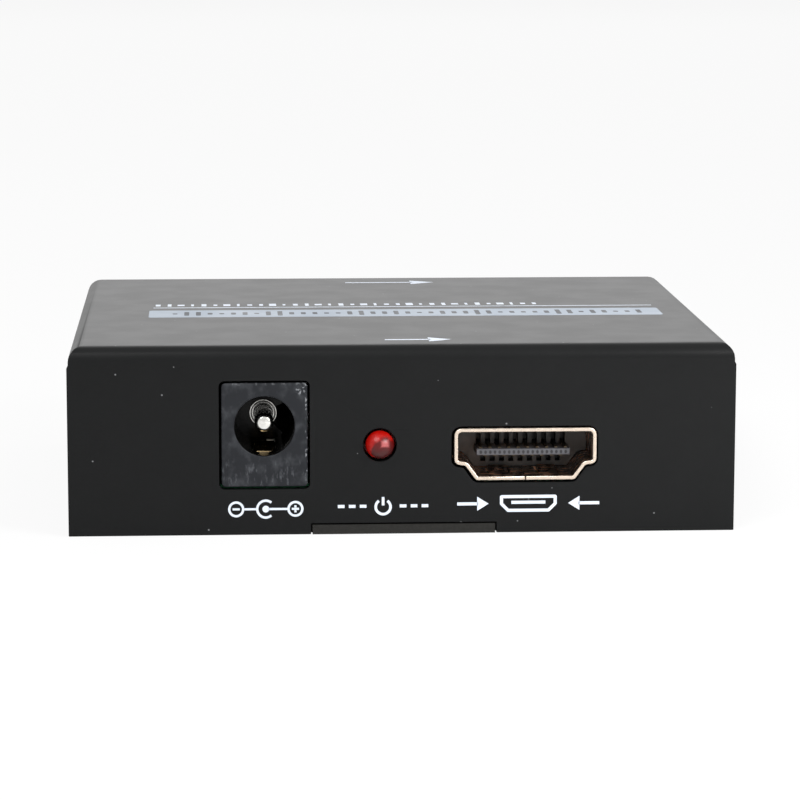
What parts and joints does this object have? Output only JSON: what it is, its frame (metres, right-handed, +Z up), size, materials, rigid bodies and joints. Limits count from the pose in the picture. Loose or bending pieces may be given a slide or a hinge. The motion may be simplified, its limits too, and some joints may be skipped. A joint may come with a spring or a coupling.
{
  "type": "hdmi audio extractor",
  "caption": "Small flat sheet-metal box that passes a video signal through and splits its sound out as light and stereo.",
  "frame": {"origin": "centre of the underside, on the surface that the case stands on", "axes": "+Z up out of the top; -Y out of the front face with the power jack and the video input; +X to the right as seen from the front"},
  "size_m": [0.07, 0.0673, 0.02],
  "materials": {
    "case_coat": "matt fine-grained black powder coat",
    "base_coat": "matt textured dark grey-brown coat",
    "screw_steel": "blackened steel",
    "standoff_brass": "turned brass",
    "screw_zinc": "zinc-plated steel",
    "board_green": "green solder mask over glass laminate",
    "jack_plastic": "scuffed black moulded plastic",
    "pin_plate": "bright nickel plate",
    "leaf_bronze": "phosphor bronze",
    "tinned_metal": "tin plate",
    "lamp_red": "diffused red resin",
    "socket_plate": "pale gold flash",
    "socket_plastic": "black moulded plastic",
    "contact_gold": "gold flash",
    "optical_plastic": "black moulded plastic",
    "shutter_plastic": "dark grey moulded plastic",
    "spring_steel": "bright spring wire",
    "emitter_resin": "dark tinted resin",
    "barrel_plate": "bright nickel plate",
    "insulator_white": "white moulded plastic",
    "insulator_red": "red moulded plastic",
    "chip_resin": "black moulded resin",
    "can_aluminium": "drawn aluminium",
    "ferrite_grey": "dark ferrite",
    "winding_copper": "enamelled copper wire",
    "ceramic_tan": "fired ceramic"
  },
  "bodies": {
    "case": {"cover": "case_coat", "base_plate": "base_coat", "cover_screws": "screw_steel", "board_standoffs": "standoff_brass", "board_screws": "screw_zinc", "circuit_board": "board_green", "dc_jack_housing": "jack_plastic", "dc_jack_center_pin": "pin_plate", "dc_jack_pin_terminal": "tinned_metal", "dc_jack_sleeve_terminal": "tinned_metal", "dc_jack_switch_terminal": "tinned_metal", "power_led_lens": "lamp_red", "power_led_leads": "tinned_metal", "input_socket_shell": "socket_plate", "input_socket_insulator": "socket_plastic", "input_socket_contacts": "contact_gold", "output_socket_shell": "socket_plate", "output_socket_insulator": "socket_plastic", "output_socket_contacts": "contact_gold", "optical_jack_housing": "optical_plastic", "optical_jack_shutter_spring": "spring_steel", "optical_jack_emitter": "emitter_resin", "optical_jack_leads": "tinned_metal", "audio_jack_block": "jack_plastic", "audio_jack_left_barrel": "barrel_plate", "audio_jack_right_barrel": "barrel_plate", "audio_jack_left_insulator": "insulator_white", "audio_jack_right_insulator": "insulator_red", "audio_jack_left_contact": "pin_plate", "audio_jack_right_contact": "pin_plate", "audio_jack_ground_terminals": "tinned_metal", "video_chip_body": "chip_resin", "video_chip_leads": "tinned_metal", "sound_chip_body": "chip_resin", "sound_chip_leads": "tinned_metal", "memory_chip_body": "chip_resin", "memory_chip_leads": "tinned_metal", "regulator_bodies": "chip_resin", "regulator_leads": "tinned_metal", "capacitor_cans": "can_aluminium", "capacitor_bases": "jack_plastic", "capacitor_leads": "tinned_metal", "power_inductor_core": "ferrite_grey", "power_inductor_winding": "winding_copper", "protection_diode_body": "chip_resin", "protection_diode_leads": "tinned_metal", "crystal_lid": "can_aluminium", "crystal_base": "ferrite_grey", "ceramic_capacitors": "ceramic_tan", "chip_resistors": "chip_resin", "chip_part_ends": "tinned_metal", "ferrite_beads": "ferrite_grey", "surge_arresters": "chip_resin"},
    "sleeve_leaf": {"dc_jack_sleeve_spring": "leaf_bronze"},
    "shutter": {"optical_jack_shutter": "shutter_plastic"}
  },
  "joints": [
    {"name": "power_sleeve_leaf_flex", "type": "hinge", "parent": "case", "child": "sleeve_leaf", "pos_m": [-0.0145, -0.0166, 0.0074], "axis": [1, 0, 0], "range_deg": [0, 5], "stiffness_Nm_per_rad": 0.02, "springref_deg": -2.86},
    {"name": "optical_shutter_hinge", "type": "hinge", "parent": "case", "child": "shutter", "pos_m": [0.00402, 0.0276, 0.01355], "axis": [-1, 0, 0], "range_deg": [0, 90], "stiffness_Nm_per_rad": 0.0008, "springref_deg": -22.92, "deforming": ["optical_jack_shutter_spring"]}
  ]
}
